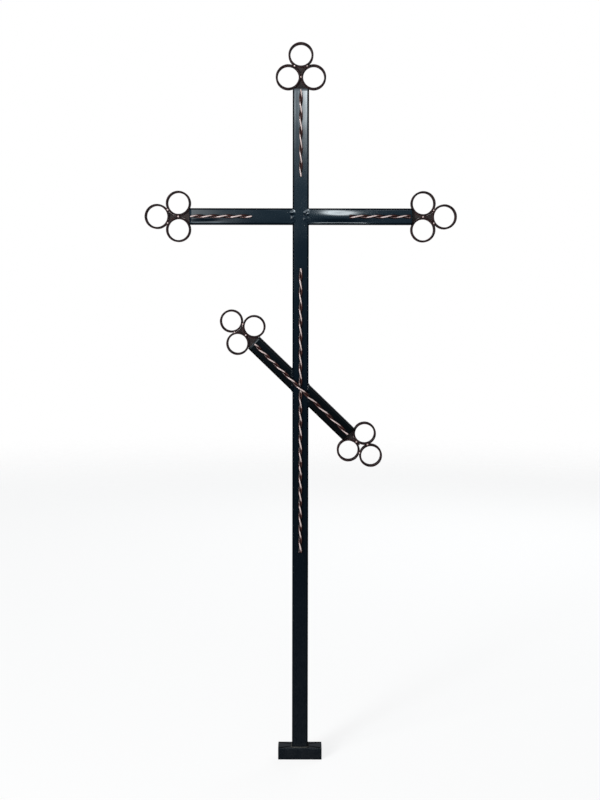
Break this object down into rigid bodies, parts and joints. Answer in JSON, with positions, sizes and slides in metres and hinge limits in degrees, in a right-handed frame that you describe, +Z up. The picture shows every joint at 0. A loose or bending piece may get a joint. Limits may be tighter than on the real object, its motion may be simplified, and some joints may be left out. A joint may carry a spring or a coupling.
{
  "type": "wrought iron grave cross",
  "caption": "Grave cross welded from square tube, with a slanted lower bar, ring trefoils at its free ends and twisted rods on its front faces.",
  "frame": {"origin": "centre of the foot's flat underside, where the cross is set on or in the ground", "axes": "+Z up the post, -Y out of the front face, +X towards the low end of the slanted lower bar"},
  "size_m": [0.7638, 0.0655, 1.779],
  "materials": {
    "black_enamel": "glossy blue-black enamel over steel tube, faintly uneven, with dust and dull scuffs low down",
    "ring_patina": "black paint brushed with thin copper-brown patina, semi-gloss, brighter on the edges",
    "copper_rod": "copper paint rubbed over black on twisted round rod, bright on the crests and dark in the grooves"
  },
  "bodies": {
    "root": {"post": "black_enamel", "crossbar_left": "black_enamel", "crossbar_right": "black_enamel", "lower_bar_high": "black_enamel", "lower_bar_low": "black_enamel", "foot": "black_enamel", "ring_top_tip": "ring_patina", "ring_top_right": "ring_patina", "ring_top_left": "ring_patina", "ring_left_tip": "ring_patina", "ring_left_upper": "ring_patina", "ring_left_lower": "ring_patina", "ring_right_tip": "ring_patina", "ring_right_lower": "ring_patina", "ring_right_upper": "ring_patina", "ring_high_tip": "ring_patina", "ring_high_upper": "ring_patina", "ring_high_lower": "ring_patina", "ring_low_tip": "ring_patina", "ring_low_lower": "ring_patina", "ring_low_upper": "ring_patina", "throat_web_top": "ring_patina", "throat_web_left": "ring_patina", "throat_web_right": "ring_patina", "throat_web_high": "ring_patina", "throat_web_low": "ring_patina", "centre_web_top": "ring_patina", "centre_web_left": "ring_patina", "centre_web_right": "ring_patina", "centre_web_high": "ring_patina", "rod_upper_post_a": "copper_rod", "rod_upper_post_b": "copper_rod", "rod_long_post_a": "copper_rod", "rod_long_post_b": "copper_rod", "rod_crossbar_left_a": "copper_rod", "rod_crossbar_left_b": "copper_rod", "rod_crossbar_right_a": "copper_rod", "rod_crossbar_right_b": "copper_rod", "rod_lower_bar_a": "copper_rod", "rod_lower_bar_b": "copper_rod"}
  },
  "joints": []
}
